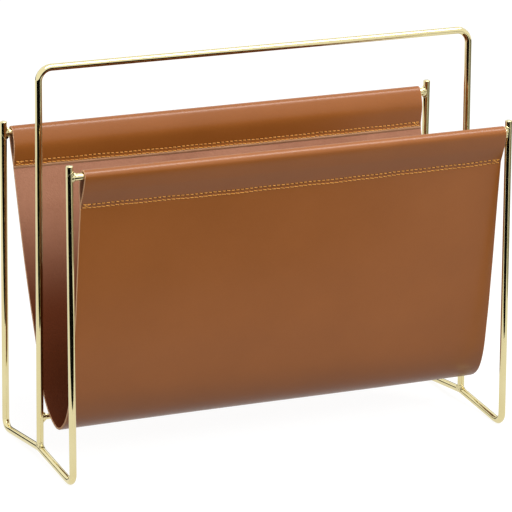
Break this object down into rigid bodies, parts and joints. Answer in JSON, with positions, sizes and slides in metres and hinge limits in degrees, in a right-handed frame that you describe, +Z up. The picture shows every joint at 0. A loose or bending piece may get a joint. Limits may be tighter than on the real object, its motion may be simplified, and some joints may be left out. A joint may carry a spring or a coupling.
{
  "type": "magazine rack",
  "caption": "Freestanding magazine rack: a brass-plated rod frame with a carrying bow and a tan leather sling sewn round two rods.",
  "frame": {"origin": "on the floor, under the middle of the rack", "axes": "+X along the long side, -Y towards the front, +Z up"},
  "size_m": [0.4352, 0.1762, 0.3615],
  "materials": {
    "brass_rod": "polished pale brass plating on bent steel rod",
    "leather": "smooth tan leather, fine grain, raw cut edges",
    "thread": "waxed orange-gold polyester thread"
  },
  "bodies": {
    "root": {"back_hem_lower_inside_thread": "thread", "back_hem_lower_outside_thread": "thread", "back_hem_upper_inside_thread": "thread", "back_hem_upper_outside_thread": "thread", "back_sling_rod": "brass_rod", "back_sling_rod_left_braze": "brass_rod", "back_sling_rod_right_braze": "brass_rod", "front_hem_lower_inside_thread": "thread", "front_hem_lower_outside_thread": "thread", "front_hem_upper_inside_thread": "thread", "front_hem_upper_outside_thread": "thread", "front_sling_rod": "brass_rod", "front_sling_rod_left_braze": "brass_rod", "front_sling_rod_right_braze": "brass_rod", "handle_bow": "brass_rod", "handle_left_braze": "brass_rod", "handle_right_braze": "brass_rod", "leather_sling": "leather", "left_end_frame": "brass_rod", "right_end_frame": "brass_rod", "stretcher_rod": "brass_rod", "stretcher_rod_left_braze": "brass_rod", "stretcher_rod_right_braze": "brass_rod"}
  },
  "joints": []
}
